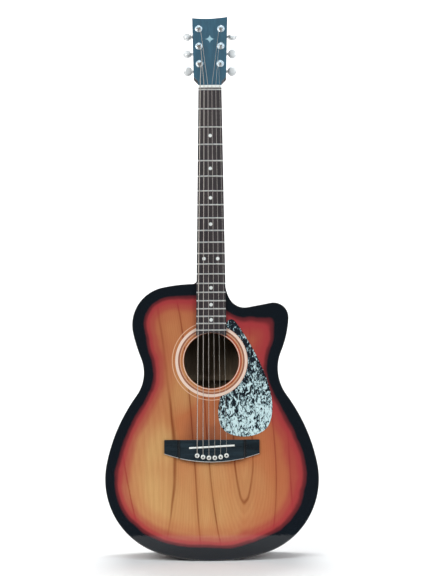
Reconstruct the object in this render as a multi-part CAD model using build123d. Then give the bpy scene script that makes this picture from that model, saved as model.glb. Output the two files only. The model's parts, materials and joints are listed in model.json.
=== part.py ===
"""Steel-string acoustic guitar with a rounded cutaway, as an assembly of separate pieces.

Frame, in millimetres: the origin is on the centreline at the zero fret, in the glue plane between
neck and fretboard. +Z runs up the neck, +X to the treble side, +Y from the soundboard to the back,
so the soundboard faces -Y. Heights on the body are also given as "s", the distance above the saddle
line, with z = s - SCALE_LENGTH.
"""
import os
from math import atan2, cos, degrees, pi, radians, sin

from build123d import *

# ---- driving dimensions ------------------------------------------------------------------------
SCALE_LENGTH = 650.0
FRET_COUNT = 20
STRING_COUNT = 6

# body
BODY_BOTTOM_S = -202.5      # tail end of the body
BODY_TOP_S = 289.5          # neck joint, at the 14th fret
SOUNDBOARD_T = 2.8
BACK_T = 2.6
RIM_T = 2.4
BINDING_W = 2.0
BODY_DEPTH = 100.0          # deepest point of the arched back
BACK_RADIUS = 5000.0        # arch of the back
BACK_DEEPEST_S = -78.0
LINING_W = 6.0
LINING_H = 9.0
NECK_BLOCK_L = 36.0
TAIL_BLOCK_L = 24.0
BACK_STRIP_T = 2.0
NECK_BLOCK_X = (-33.0, 21.0)
TAIL_BLOCK_HALF_X = 34.0

# sound hole and rosette
HOLE_S = 150.0
HOLE_R = 49.5
ROSETTE_RINGS = ((50.3, 51.5), (54.8, 65.2), (69.8, 71.2))
ROSETTE_T = 0.7
PICKGUARD_T = 0.9
PICKGUARD_RING_R = 65.6
BOARD_EDGE_X = 27.7         # pickguard's edge beside the fretboard

# bridge, saddle and pins
BRIDGE_HALF_L = 85.0
BRIDGE_TOP_S = 9.5
BRIDGE_END_S = -15.4
BRIDGE_BULGE_S = -30.0
BRIDGE_H = 8.5
BRIDGE_WING_H = 3.6
BRIDGE_CORNER_R = 1.5
BRIDGE_CENTRE_HALF_L = 56.0
SADDLE_L = 81.0
SADDLE_T = 3.2
SADDLE_S = -2.65            # middle of the saddle
SADDLE_SLANT = 3.1          # degrees, treble end nearer the neck
SADDLE_TOP = 12.2
SADDLE_SLOT_DEPTH = 5.0
STRING_SPACING_BRIDGE = 10.4
PIN_ROW_S = -21.9
PIN_ROW_RISE = 4.0          # how far the outer pins stand above the middle ones
PIN_HOLE_R = 2.55
PIN_HEAD_R = 4.1
PIN_STANDOFF = 2.1
BRIDGE_PLATE_T = 2.5

# neck and fretboard
NUT_BOTTOM_Z = 3.0
NUT_TOP_Z = 8.0
NUT_HALF_W = 21.5
NUT_H = 8.4
BOARD_T = 6.0
BOARD_END_HALF_W = 27.3
BOARD_END_S = 200.6
BOARD_END_R = 68.0
BOARD_RADIUS = 400.0
FRET_CROWN_W = 2.4
FRET_CROWN_H = 1.1
FRET_TANG_T = 0.6
FRET_TANG_H = 1.7
DOT_R = 3.25
DOT_T = 1.2
DOUBLE_DOT_X = 12.5
NECK_DEPTH_NUT = 15.5
NECK_DEPTH_HEEL = 18.5
HEEL_DEPTH = 82.0
HEEL_SKIRT = 8.0            # how far the heel reaches down before it is cut to the rim
TENON_HALF_W = 9.0
TENON_L = 16.0
TENON_DEPTH = 60.0
ROD_R = 3.0
ROD_Y = 5.2
ROD_TOP_Z = -12.0
ROD_NUT_R = 4.2
STRING_SPACING_NUT = 7.2

# head
HEAD_TILT = 13.0
HEAD_T = 11.8
VENEER_T = 1.2
HEAD_LENGTH = 148.7
HEAD_SLANT = 1.2            # how far the treble corner stands above the middle of the two corners
HEAD_DIP = 2.6
HEAD_TOP_HALF_W = 33.6
HEAD_SHOULDER_HALF_W = 30.4
HEAD_SHOULDER_H = 22.5
INLAY_T = 0.6
INLAY_HALF = 9.75
INLAY_H = 101.0

# tuning machines
POST_PLACES = ((19.4, 47.0), (20.6, 85.0), (21.2, 123.0))   # half spacing, height above the nut
POST_R = 3.0
POST_WAIST_R = 2.4
SCREW_H = 9.6               # fixing screw, above the post
SCREW_R = 1.2
EAR_T = 1.8
POST_TOP = 10.0
POST_WAIST = (4.8, 7.6)     # heights between which the post is waisted
WRAP_N = 6.2                # height at which a string meets its post
BUSHING_R = 4.95
BUSHING_FLANGE_R = 7.0
GEAR_TEETH = 14
GEAR_MODULE = 0.5
GEAR_T = 2.6
WORM_PITCH_R = 2.0
WORM_TURNS = 4
WORM_DEPTH = 5.0            # worm axis behind the back of the head
SHAFT_R = 2.0
RUNNING_GAP = 0.05
BUTTON_U = 22.0             # button centre from the post axis
BUTTON_TURNS = {1: 24, 2: 14, 3: -28, 4: -22, 5: -24, 6: 20}   # resting angle of each button
STRING_DIAMETERS = (0.30, 0.41, 0.61, 0.81, 1.07, 1.35)      # high E to low E

TOP_Z = BODY_TOP_S - SCALE_LENGTH
HOLE_Z = HOLE_S - SCALE_LENGTH
BOARD_END_Z = BOARD_END_S - SCALE_LENGTH
HEAD_PLANE = Plane(origin=(0, 0, NUT_TOP_Z), x_dir=(1, 0, 0),
                   z_dir=(0, -cos(radians(HEAD_TILT)), sin(radians(HEAD_TILT))))
SADDLE_Z = SADDLE_S - SCALE_LENGTH


def at_s(x, s):
    """A point of the soundboard plane as (x, z)."""
    return (x, s - SCALE_LENGTH)


def prism(face, y_front, y_back):
    """Extrude a face drawn in (x, z) between two depths."""
    solid = extrude(face, amount=y_back - y_front)
    return Pos(0, y_front, 0) * Rot(90, 0, 0) * Pos(0, 0, -(y_back - y_front)) * solid


def block(x_range, y_range, z_range):
    """A box given by its extents."""
    size = [high - low for low, high in (x_range, y_range, z_range)]
    middle = [(high + low) / 2 for low, high in (x_range, y_range, z_range)]
    return Pos(*middle) * Box(*size)


def peg(x, z, radius, y_front, y_back):
    """A cylinder along Y."""
    return prism(Pos(x, z) * Circle(radius), y_front, y_back)


def solids_of(shape):
    return list(shape.solids())


# ---- body outline ------------------------------------------------------------------------------
def tangent_chain(start, heading, pieces):
    """Arcs (radius, turn) and lines (None, length), each tangent to the last; left turns are +."""
    edges = []
    point, angle = Vector(*start), heading
    for radius, amount in pieces:
        direction = (cos(radians(angle)), sin(radians(angle)))
        if radius is None:
            edge = Line(point, point + Vector(*direction) * amount)
        else:
            edge = JernArc(start=point, tangent=direction, radius=radius, arc_size=amount)
            angle += amount
        edges.append(edge)
        point = edge @ 1
    return edges, point


LOWER_BOUT = [(324.8, 16.7), (136.0, 84.6), (305.0, 24.8)]
BASS_UPPER = [(69.2, -58.3), (300.0, 9.0), (68.8, 90.6), (276.0, 12.0)]
TREBLE_UPPER = [(80.2, -59.1), (180.0, 19.5), (27.0, 104.1), (None, 42.4), (30.6, -70.0),
                (63.0, -25.0)]


def body_outline():
    """The closed outline of the body, in (x, z)."""
    start = at_s(0, BODY_BOTTOM_S)
    treble, treble_end = tangent_chain(start, 0, LOWER_BOUT + TREBLE_UPPER)
    bass, bass_end = tangent_chain(start, 0, LOWER_BOUT + BASS_UPPER)
    bass = [edge.mirror(Plane.YZ) for edge in bass]
    joint_left = (-bass_end.X, bass_end.Y)
    joint_right = (treble_end.X, TOP_Z)
    closing = [Line(treble_end, joint_right), Line(joint_right, (joint_left[0], TOP_Z)),
               Line((joint_left[0], TOP_Z), joint_left)]
    return make_face(Wire(treble + bass + closing).edges())


OUTLINE = body_outline()


def inset(distance):
    """The body outline drawn in by a distance."""
    return offset(OUTLINE, -distance)


def within_back(shape, inward=0.0):
    """Keep what lies in front of the arched back surface, drawn inward by a distance."""
    centre = (0, BODY_DEPTH - BACK_RADIUS, BACK_DEEPEST_S - SCALE_LENGTH)
    return shape & (Pos(*centre) * Sphere(BACK_RADIUS - inward))


def ring(outer_inset, inner_inset, y_front, y_back):
    """A band that follows the outline, between two insets."""
    outer = prism(inset(outer_inset) if outer_inset else OUTLINE, y_front, y_back)
    return outer - prism(inset(inner_inset), y_front, y_back)


# ---- places shared by several pieces -------------------------------------------------------------
def pin_places():
    """(x, z) of each bridge pin, from the high E on the treble side to the low E."""
    for index in range(STRING_COUNT):
        x = (2.5 - index) * STRING_SPACING_BRIDGE
        rise = PIN_ROW_RISE * (abs(2.5 - index) / 2.5) ** 2
        yield at_s(x, PIN_ROW_S + rise)


def string_radius(index):
    return STRING_DIAMETERS[index] / 2


def notch_offset(index):
    """Distance of a string from its pin's axis, in the notch on the saddle side."""
    return PIN_HOLE_R + max(string_radius(index), 0.3)


def board_half_width(z):
    """Half width of the fretboard at a height."""
    return NUT_HALF_W + (BOARD_END_HALF_W - NUT_HALF_W) * z / BOARD_END_Z


def crown_drop(x):
    """How far the rounded fretboard falls away at x."""
    return x * x / (2 * BOARD_RADIUS)


def on_head(x, height, shape):
    """Place a shape drawn about the origin on the head: x across, y up the head, z to the front."""
    return HEAD_PLANE.location * (Pos(x, height, 0) * shape)


# ---- body ----------------------------------------------------------------------------------------
def pin_holes(y_front, y_back):
    """The six pin holes, each with the notch that its string lies in."""
    holes = []
    for index, (x, z) in enumerate(pin_places()):
        width = 2 * string_radius(index) + 0.3
        reach = notch_offset(index) + string_radius(index) + 0.15
        holes.append(peg(x, z, PIN_HOLE_R, y_front, y_back))
        holes.append(block((x - width / 2, x + width / 2), (y_front, y_back), (z, z + reach)))
    return holes


def rosette_bands(thickness):
    bands = []
    for inner, outer in ROSETTE_RINGS:
        band = Pos(0, HOLE_Z) * (Circle(outer) - Circle(inner))
        bands.append(prism(band, 0, thickness))
    return bands


def make_soundboard():
    board = prism(inset(BINDING_W), 0, SOUNDBOARD_T)
    board -= peg(0, HOLE_Z, HOLE_R, -1, SOUNDBOARD_T + 1)
    for cut in rosette_bands(ROSETTE_T) + pin_holes(-1, SOUNDBOARD_T + 1):
        board -= cut
    return board


def make_rosette():
    return rosette_bands(ROSETTE_T)


def make_back_plate():
    plate = prism(inset(BINDING_W), 60, BODY_DEPTH + 10)
    return within_back(plate) - within_back(plate, BACK_T)


def make_bindings():
    front = ring(0, BINDING_W, 0, SOUNDBOARD_T)
    rear = ring(0, BINDING_W, 60, BODY_DEPTH + 10)
    rear = within_back(rear) - within_back(rear, BACK_T)
    return solids_of(front) + solids_of(rear)


def tenon():
    return block((-TENON_HALF_W, TENON_HALF_W), (SOUNDBOARD_T, TENON_DEPTH), (TOP_Z - TENON_L, TOP_Z))


def rod_passage(radius, bottom_z):
    """Straight bore for the truss rod and its nut."""
    length = ROD_TOP_Z - bottom_z
    return Pos(0, ROD_Y + SOUNDBOARD_T, bottom_z + length / 2) * Cylinder(radius, length)


def make_rim():
    """The bass and treble sides, split on the centreline."""
    rim = within_back(ring(0, RIM_T, SOUNDBOARD_T, BODY_DEPTH + 10), BACK_T)
    rim -= tenon()
    rim -= rod_passage(ROD_R, TOP_Z - 10)
    bass = rim & block((-250, 0), (-5, 120), (-900, -300))
    treble = rim & block((0, 250), (-5, 120), (-900, -300))
    return bass, treble


def block_blanks():
    """The neck block and the tail block before they are bored."""
    bottom = BODY_BOTTOM_S - SCALE_LENGTH
    inside = within_back(prism(inset(RIM_T), SOUNDBOARD_T, BODY_DEPTH), BACK_T)
    neck_end = block(NECK_BLOCK_X, (0, BODY_DEPTH), (TOP_Z - RIM_T - NECK_BLOCK_L, TOP_Z + 10))
    tail_end = block((-TAIL_BLOCK_HALF_X, TAIL_BLOCK_HALF_X), (0, BODY_DEPTH),
                     (bottom - 5, bottom + RIM_T + TAIL_BLOCK_L))
    return inside & neck_end, inside & tail_end


def make_neck_block():
    return block_blanks()[0] - tenon() - rod_passage(ROD_NUT_R + 0.6, TOP_Z - 80)


def make_tail_block():
    return block_blanks()[1]


def make_linings():
    """Kerfed strips that widen the glue joint between the rim and the two plates."""
    band = ring(RIM_T, RIM_T + LINING_W, SOUNDBOARD_T, BODY_DEPTH)
    front = band & block((-250, 250), (SOUNDBOARD_T, SOUNDBOARD_T + LINING_H), (-900, -300))
    rear = within_back(band, BACK_T) - within_back(band, BACK_T + LINING_H)
    pieces = []
    for strip in (front, rear):
        for blank in block_blanks():
            strip -= blank
        pieces += solids_of(strip)
    return pieces


def brace(start, end, width, height):
    """A soundboard brace between two (x, s) points, its ends scooped thinner."""
    (x0, z0), (x1, z1) = at_s(*start), at_s(*end)
    length = ((x1 - x0) ** 2 + (z1 - z0) ** 2) ** 0.5
    scoop = min(45.0, length * 0.2)
    low = 3.0
    profile = Polyline((-length / 2, 0), (length / 2, 0), (length / 2, low), (length / 2 - scoop, height),
                       (-length / 2 + scoop, height), (-length / 2, low), close=True)
    solid = extrude(make_face(profile), amount=width / 2, both=True)
    turn = degrees(atan2(z1 - z0, x1 - x0))
    return Pos((x0 + x1) / 2, SOUNDBOARD_T, (z0 + z1) / 2) * Rot(0, -turn, 0) * solid


def make_x_braces():
    """The crossed pair below the sound hole, half lapped where they meet."""
    height, width = 14.0, 8.0
    one = brace((-148, -50.7), (100, 165), width, height)
    two = brace((148, -50.7), (-100, 165), width, height)
    lap = SOUNDBOARD_T + height / 2
    crossing = one & two
    one -= crossing & block((-60, 60), (lap, 40), (-620, -520))
    two -= crossing & block((-60, 60), (-5, lap), (-620, -520))
    return [one, two]


def make_soundboard_braces():
    """Cross brace above the hole, its two short side braces, and two tone bars."""
    return [brace((-118, 224), (114, 224), 9.0, 15.0),
            brace((-62, 214), (-62, 150), 5.0, 6.0),
            brace((62, 214), (62, 150), 5.0, 6.0),
            brace((-70, -62), (58, -96), 6.0, 10.0),
            brace((-58, -112), (44, -142), 6.0, 10.0)]


def make_bridge_plate():
    plate = block((-72, 72), (SOUNDBOARD_T, SOUNDBOARD_T + BRIDGE_PLATE_T),
                  (-40 - SCALE_LENGTH, 4 - SCALE_LENGTH))
    for cut in pin_holes(-1, SOUNDBOARD_T + BRIDGE_PLATE_T + 1):
        plate -= cut
    return plate


def make_back_braces():
    """Four bars across the back, arched like it."""
    bars = []
    for s, half_length in ((228, 118), (120, 104), (10, 160), (-110, 162)):
        z = s - SCALE_LENGTH
        bar = block((-half_length, half_length), (60, BODY_DEPTH), (z - 5, z + 5))
        bars.append(within_back(bar, BACK_T + BACK_STRIP_T) - within_back(bar, BACK_T + 13))
    return bars


def make_back_strip():
    """Thin strip that covers the glue line of the two-piece back."""
    low = BODY_BOTTOM_S - SCALE_LENGTH + RIM_T + TAIL_BLOCK_L + 4
    high = TOP_Z - RIM_T - NECK_BLOCK_L - 4
    strip = block((-9, 9), (60, BODY_DEPTH), (low, high))
    return within_back(strip, BACK_T) - within_back(strip, BACK_T + BACK_STRIP_T)


def make_pickguard():
    """Teardrop plate between the rosette's thick ring and the bridge."""
    ring_top = (BOARD_EDGE_X, HOLE_S + (PICKGUARD_RING_R ** 2 - BOARD_EDGE_X ** 2) ** 0.5)
    ring_low = (17.0, HOLE_S - (PICKGUARD_RING_R ** 2 - 17.0 ** 2) ** 0.5)
    rim_points = [(BOARD_EDGE_X, 218.5), (36, 224.8), (50, 211.5), (83, 155), (105, 96), (108.3, 60),
                  (97, 28.5), (72, 16.2), (45.6, 15.8), (21.1, 27), (11.8, 55)]
    edge = [at_s(*point) for point in [*rim_points, ring_low]]
    outline = [Line(at_s(*ring_top), edge[0]),
               Spline(edge),
               RadiusArc(at_s(*ring_low), at_s(*ring_top), -PICKGUARD_RING_R)]
    return prism(make_face(outline), -PICKGUARD_T, 0)


def make_bridge():
    top, end, bulge = (s - SCALE_LENGTH for s in (BRIDGE_TOP_S, BRIDGE_END_S, BRIDGE_BULGE_S))
    plan = make_face([Line((-BRIDGE_HALF_L, end), (-BRIDGE_HALF_L, top)),
                      Line((-BRIDGE_HALF_L, top), (BRIDGE_HALF_L, top)),
                      Line((BRIDGE_HALF_L, top), (BRIDGE_HALF_L, end)),
                      ThreePointArc((BRIDGE_HALF_L, end), (0, bulge), (-BRIDGE_HALF_L, end))])
    plan = fillet(plan.vertices(), BRIDGE_CORNER_R)
    solid = prism(plan, -BRIDGE_H, 0)
    solid = fillet(solid.faces().sort_by(Axis.Y)[0].edges(), 1.4)
    for side in (-1, 1):
        inner, outer = side * BRIDGE_CENTRE_HALF_L, side * (BRIDGE_HALF_L + 5)
        foot = side * (BRIDGE_CENTRE_HALF_L + 7)
        cut = make_face([ThreePointArc((inner, -BRIDGE_H - 1), (inner + side * 2.6, -6.2),
                                       (foot, -BRIDGE_WING_H)),
                         Line((foot, -BRIDGE_WING_H), (outer, -BRIDGE_WING_H + 0.6)),
                         Line((outer, -BRIDGE_WING_H + 0.6), (outer, -BRIDGE_H - 1)),
                         Line((outer, -BRIDGE_H - 1), (inner, -BRIDGE_H - 1))])
        solid -= Pos(0, 0, SADDLE_Z) * extrude(cut, amount=60, both=True)
    solid -= saddle_blank(SADDLE_SLOT_DEPTH)
    for cut in pin_holes(-BRIDGE_H - 1, 1):
        solid -= cut
    return solid


def saddle_blank(depth):
    """The saddle's rectangle from its slot's floor upward."""
    floor_y = -(BRIDGE_H - depth)
    body = Pos(0, (floor_y - 14) / 2, 0) * Box(SADDLE_L, floor_y + 14, SADDLE_T)
    return Pos(0, 0, SADDLE_Z) * Rot(0, -SADDLE_SLANT, 0) * body


def make_saddle():
    """Bone-white bar with rounded ends and a crown that follows the fretboard's arch."""
    floor_y = -(BRIDGE_H - SADDLE_SLOT_DEPTH)
    half = SADDLE_L / 2
    end_top = -(SADDLE_TOP - crown_drop(half) - 0.6)
    side = make_face([Line((-half, floor_y), (half, floor_y)),
                      Line((half, floor_y), (half, end_top)),
                      ThreePointArc((half, end_top), (0, -SADDLE_TOP), (-half, end_top)),
                      Line((-half, end_top), (-half, floor_y))])
    bar = extrude(side, amount=SADDLE_T / 2, both=True)
    crown = bar.edges().filter_by(GeomType.CIRCLE)
    bar = fillet(crown, SADDLE_T / 2 - 0.2)
    return Pos(0, 0, SADDLE_Z) * Rot(0, -SADDLE_SLANT, 0) * bar


def make_bridge_pin(x, z):
    """Tapered pin with a domed head that stands proud of the bridge."""
    collar_y = BRIDGE_H + PIN_STANDOFF
    tip = SOUNDBOARD_T + BRIDGE_PLATE_T + 7
    shaft_r = PIN_HOLE_R - RUNNING_GAP
    dome_base, dome_h = collar_y + 0.9, 2.0
    ball_r = (dome_h ** 2 + PIN_HEAD_R ** 2) / (2 * dome_h)
    ball_y = dome_base + dome_h - ball_r
    half_turn = atan2(PIN_HEAD_R, dome_base - ball_y) / 2
    dome_mid = (ball_r * sin(half_turn), ball_y + ball_r * cos(half_turn))
    shank = Polyline((0, dome_base + dome_h), (0, -tip), (1.7, -tip), (2.1, -tip + 0.8),
                     (shaft_r, BRIDGE_H - 2), (shaft_r, collar_y), (PIN_HEAD_R - 0.4, collar_y),
                     (PIN_HEAD_R, collar_y + 0.4), (PIN_HEAD_R, dome_base))
    dome = ThreePointArc((PIN_HEAD_R, dome_base), dome_mid, (0, dome_base + dome_h))
    turned = revolve(make_face([*shank.edges(), dome]), Axis.Y)
    return Pos(x, 0, z) * Rot(0, 0, 180) * turned


# ---- neck ----------------------------------------------------------------------------------------
def neck_section(z):
    """The D-shaped half round of the neck at a height, without the fretboard."""
    share = min(1.0, -z / -TOP_Z)
    half_w = board_half_width(z)
    depth = NECK_DEPTH_NUT + (NECK_DEPTH_HEEL - NECK_DEPTH_NUT) * share
    corner = 0.45 * depth
    outline = [Line((-half_w, 0), (half_w, 0)),
               Spline([(half_w, 0), (half_w * 0.93, corner), (half_w * 0.56, depth * 0.87), (0, depth),
                       (-half_w * 0.56, depth * 0.87), (-half_w * 0.93, corner), (-half_w, 0)],
                      tangents=[(0.03, 1), (0.03, -1)])]
    return Pos(0, 0, z) * make_face(outline)


HEEL_SECTIONS = ((3.0, 66.0, 24.5, 2.0), (12.0, 48.0, 23.8, 12.0), (20.0, 33.0, 21.8, 14.0),
                 (32.0, 21.5, 18.8, 12.0), (50.0, 15.5, 15.2, 8.0), (68.0, 13.0, 12.6, 5.0),
                 (HEEL_DEPTH, 12.4, 11.2, 3.0))


def make_heel():
    """Heel that sweeps back from the neck to the body's depth, narrowing as it goes.

    Each section has a depth, a length up the neck, a half width, and the reach of the hollow foot
    that spreads along the rim on the bass side. Its skirt is cut to the curve of the rim.
    """
    sections = []
    for depth, length, half_w, foot in HEEL_SECTIONS:
        low, high = length * 0.35, length * 0.84
        crown = [(half_w, low), (half_w * 0.66, high), (0, length), (-half_w * 0.66, high), (-half_w, low)]
        hollow = (-half_w - 0.25 * foot, 0.25 * low)
        outline = [Polyline((-half_w - foot, 0), (-half_w - foot, -HEEL_SKIRT), (half_w, -HEEL_SKIRT),
                            (half_w, low)),
                   Spline(crown, tangents=[(0, 1), (0, -1)]),
                   ThreePointArc((-half_w, low), hollow, (-half_w - foot, 0))]
        sections.append(Pos(0, depth, TOP_Z) * Rot(90, 0, 0) * make_face(outline))
    return loft(sections) - prism(OUTLINE, -1, BODY_DEPTH + 10)


def head_outline():
    """Outline of the head, x across and y up the head from the nut."""
    half_nut, low, wide = NUT_HALF_W, HEAD_SHOULDER_HALF_W, HEAD_TOP_HALF_W
    edges = [Line((-half_nut, 0), (half_nut, 0))]
    for side in (1, -1):
        waist, shoulder = (side * half_nut, 7.5), (side * low, HEAD_SHOULDER_H)
        sweep_points = [waist, (side * (half_nut + 2.2), 12.2), (side * (half_nut + 5.8), 16.4), shoulder]
        edges += [Line((side * half_nut, 0), waist),
                  Spline(sweep_points, tangents=[(0, 1), (side * 0.05, 1)]),
                  Line(shoulder, (side * wide, HEAD_LENGTH + side * HEAD_SLANT))]
    edges.append(ThreePointArc((wide, HEAD_LENGTH + HEAD_SLANT), (0, HEAD_LENGTH - HEAD_DIP),
                               (-wide, HEAD_LENGTH - HEAD_SLANT)))
    return make_face(edges)


def post_places():
    """(number, side, x, height on the head) of each tuning machine: 1 is the high E's."""
    for index, (half_spacing, height) in enumerate(POST_PLACES):
        yield 1 + index, 1, half_spacing, height
    for index, (half_spacing, height) in enumerate(reversed(POST_PLACES)):
        yield 4 + index, -1, -half_spacing, height


def head_bores(radius):
    return [on_head(x, height, Cylinder(radius, 60)) for _, _, x, height in post_places()]


def make_neck():
    shaft = loft([neck_section(z) for z in (NUT_TOP_Z + 22, -120, -240, TOP_Z)])
    neck = shaft + make_heel() + tenon()
    neck += HEAD_PLANE.location * extrude(head_outline(), amount=-HEAD_T)
    neck -= HEAD_PLANE.location * (Pos(0, 85, 15) * Box(120, 170, 30))
    for bore in head_bores(BUSHING_R):
        neck -= bore
    neck -= rod_passage(ROD_R, TOP_Z - 60)
    for _, _, x, height in post_places():
        neck -= on_head(x, height, Pos(0, SCREW_H, -HEAD_T) * Cylinder(SCREW_R, 14))
    return neck


def make_head_veneer():
    veneer = extrude(head_outline(), amount=VENEER_T)
    veneer -= Pos(0, 0, VENEER_T - INLAY_T) * extrude(inlay_face(), amount=2)
    veneer = HEAD_PLANE.location * veneer
    for bore in head_bores(BUSHING_R):
        veneer -= bore
    return veneer & block((-60, 60), (-60, 60), (NUT_TOP_Z, 200))


def inlay_face():
    """Four-pointed star with hollow sides."""
    tips = [(0, INLAY_HALF), (INLAY_HALF, 0), (0, -INLAY_HALF), (-INLAY_HALF, 0)]
    waist = INLAY_HALF * 0.3
    waists = [(waist, waist), (waist, -waist), (-waist, -waist), (-waist, waist)]
    arcs = [ThreePointArc(tips[i], waists[i], tips[(i + 1) % 4]) for i in range(4)]
    return Pos(0, INLAY_H) * make_face(arcs)


def make_head_inlay():
    return HEAD_PLANE.location * (Pos(0, 0, VENEER_T - INLAY_T) * extrude(inlay_face(), amount=INLAY_T))


def fret_heights():
    """z of the zero fret and of every fret below it."""
    return [SCALE_LENGTH * (2 ** (-n / 12) - 1) for n in range(FRET_COUNT + 1)]


def board_arc_face(y_low, y_high, half_thickness, crowned):
    """Section of a fret in (y, z): a tang or a crown, measured back from the board's surface."""
    if crowned:
        rim = ThreePointArc((y_high, -half_thickness), (y_low, 0), (y_high, half_thickness))
        return make_face([rim, Line((y_high, half_thickness), (y_high, -half_thickness))])
    return make_face(Polyline((y_low, -half_thickness), (y_high, -half_thickness),
                              (y_high, half_thickness), (y_low, half_thickness), close=True))


def make_fret(z, tang_only=False, reach=0.0):
    """A fret across the board, swept along the board's arch."""
    axis_y = BOARD_RADIUS - BOARD_T
    half_angle = degrees((board_half_width(z) - 0.3 + reach) / BOARD_RADIUS)
    faces = [board_arc_face(-BOARD_T, -BOARD_T + FRET_TANG_H, FRET_TANG_T / 2, False)]
    if not tang_only:
        faces.append(board_arc_face(-BOARD_T - FRET_CROWN_H, -BOARD_T, FRET_CROWN_W / 2, True))
    pieces = []
    for face in faces:
        upright = Plane((0, 0, z), x_dir=(0, 1, 0), z_dir=(1, 0, 0)).location * face
        start = upright.rotate(Axis((0, axis_y, z), (0, 0, 1)), -half_angle)
        pieces.append(revolve(start, Axis((0, axis_y, z), (0, 0, 1)), 2 * half_angle))
    return pieces[0] if tang_only else pieces[0] + pieces[1]


def arched_blank():
    """Everything behind the fretboard's arched playing surface."""
    length = 700
    return Pos(0, BOARD_RADIUS - BOARD_T, -200) * Cylinder(BOARD_RADIUS, length)


def dot_places():
    heights = fret_heights()
    for fret in (3, 5, 7, 9, 12, 15, 17, 19):
        z = (heights[fret] + heights[fret - 1]) / 2
        for x in ((-DOUBLE_DOT_X, DOUBLE_DOT_X) if fret == 12 else (0,)):
            yield x, z


def make_dots():
    return [peg(x, z, DOT_R, -BOARD_T - 1, -BOARD_T + DOT_T) & arched_blank() for x, z in dot_places()]


def make_fretboard():
    end_drop = BOARD_END_R - (BOARD_END_R ** 2 - BOARD_END_HALF_W ** 2) ** 0.5
    end_z = BOARD_END_Z - end_drop
    top_half, low_half = board_half_width(NUT_BOTTOM_Z), board_half_width(end_z)
    face = make_face([Line((-top_half, NUT_BOTTOM_Z), (top_half, NUT_BOTTOM_Z)),
                      Line((top_half, NUT_BOTTOM_Z), (low_half, end_z)),
                      ThreePointArc((low_half, end_z), (0, BOARD_END_Z), (-low_half, end_z)),
                      Line((-low_half, end_z), (-top_half, NUT_BOTTOM_Z))])
    board = prism(face, -BOARD_T - 1, 0) & arched_blank()
    for z in fret_heights():
        board -= make_fret(z, tang_only=True)
    for x, z in dot_places():
        board -= peg(x, z, DOT_R, -BOARD_T - 1, -BOARD_T + DOT_T)
    return board


def make_nut():
    solid = block((-NUT_HALF_W, NUT_HALF_W), (-NUT_H, 0), (NUT_BOTTOM_Z, NUT_TOP_Z))
    solid &= Pos(0, BOARD_RADIUS - NUT_H, 0) * Cylinder(BOARD_RADIUS, 60)
    top_edges = solid.edges().filter_by(GeomType.CIRCLE)
    solid = fillet(top_edges, 1.0)
    for index in range(STRING_COUNT):
        path, radius = string_path(index), string_radius(index)
        x, y, _ = path[3]
        half_slot = radius + 0.3
        solid -= Pos(x, y + 0.1, NUT_BOTTOM_Z) * Cylinder(half_slot, 60)
        solid -= block((x - half_slot, x + half_slot), (-NUT_H - 2, y + 0.1), (-27, 33))
    return solid


def make_truss_rod():
    top, bottom = ROD_TOP_Z, TOP_Z - TENON_L
    rod = Pos(0, ROD_Y + SOUNDBOARD_T, (top + bottom) / 2) * Cylinder(ROD_R, top - bottom)
    tip = Pos(0, ROD_Y + SOUNDBOARD_T, bottom - 5) * Cylinder(ROD_R - 1, 10)
    return rod + tip


def make_truss_rod_nut():
    """Barrel nut on the rod's end, with a hexagon socket that faces the sound hole."""
    top, length = TOP_Z - TENON_L - 0.3, 16.0
    nut = Cylinder(ROD_NUT_R, length) - Pos(0, 0, length / 2 - 5) * Cylinder(ROD_R - 1 + RUNNING_GAP, 10.2)
    nut -= Pos(0, 0, -length / 2) * extrude(RegularPolygon(2.5, 6), amount=4.5)
    return Pos(0, ROD_Y + SOUNDBOARD_T, top - length / 2) * nut


# ---- strings -------------------------------------------------------------------------------------
def string_path(index):
    """Corner points of a string: ball end, bridge edge, saddle, nut and post."""
    radius = string_radius(index)
    x_bridge = (2.5 - index) * STRING_SPACING_BRIDGE
    x_nut = (2.5 - index) * STRING_SPACING_NUT
    _, pin_z = list(pin_places())[index]
    z_notch = pin_z + notch_offset(index)
    slant = sin(radians(SADDLE_SLANT)) * x_bridge
    y_saddle = -SADDLE_TOP + crown_drop(x_bridge) - radius - 0.05
    y_fret = -BOARD_T - FRET_CROWN_H + crown_drop(x_nut) - radius - 0.05
    z_nut = NUT_TOP_Z - 1.5
    slope = (y_fret - y_saddle) / -(SADDLE_Z + slant)
    number, _, post_x, height = list(post_places())[index]
    inner_x = post_x - (1 if post_x > 0 else -1) * (POST_WAIST_R + 0.9)
    target = HEAD_PLANE.location.position + HEAD_PLANE.x_dir * inner_x + HEAD_PLANE.y_dir * height
    target += HEAD_PLANE.z_dir * WRAP_N
    return [(x_bridge, SOUNDBOARD_T + BRIDGE_PLATE_T + 1.0, z_notch),
            (x_bridge, -BRIDGE_H - 0.35 - radius, z_notch),
            (x_bridge, y_saddle, SADDLE_Z + slant),
            (x_nut, y_fret + slope * z_nut, z_nut),
            tuple(target)]


def make_string(index):
    """One string, swept along straight runs joined by tangent arcs."""
    radius = string_radius(index)
    points = [Vector(*p) for p in string_path(index)]
    path = FilletPolyline(*points, radius=[0.9 + radius, 4.0, 12.0])
    start = Plane(origin=path @ 0, z_dir=path % 0)
    return sweep(start * Circle(radius), path=path)


def make_ball_ends():
    """Ring at the foot of each string, below the bridge plate."""
    rings = []
    for index in range(STRING_COUNT):
        x, y, z = string_path(index)[0]
        disc = Cylinder(1.9, 2.6) - Cylinder(0.8, 4)
        rings.append(Pos(x, y + 1.9, z + 1.8) * Rot(0, 90, 0) * disc)
    return rings


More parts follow.
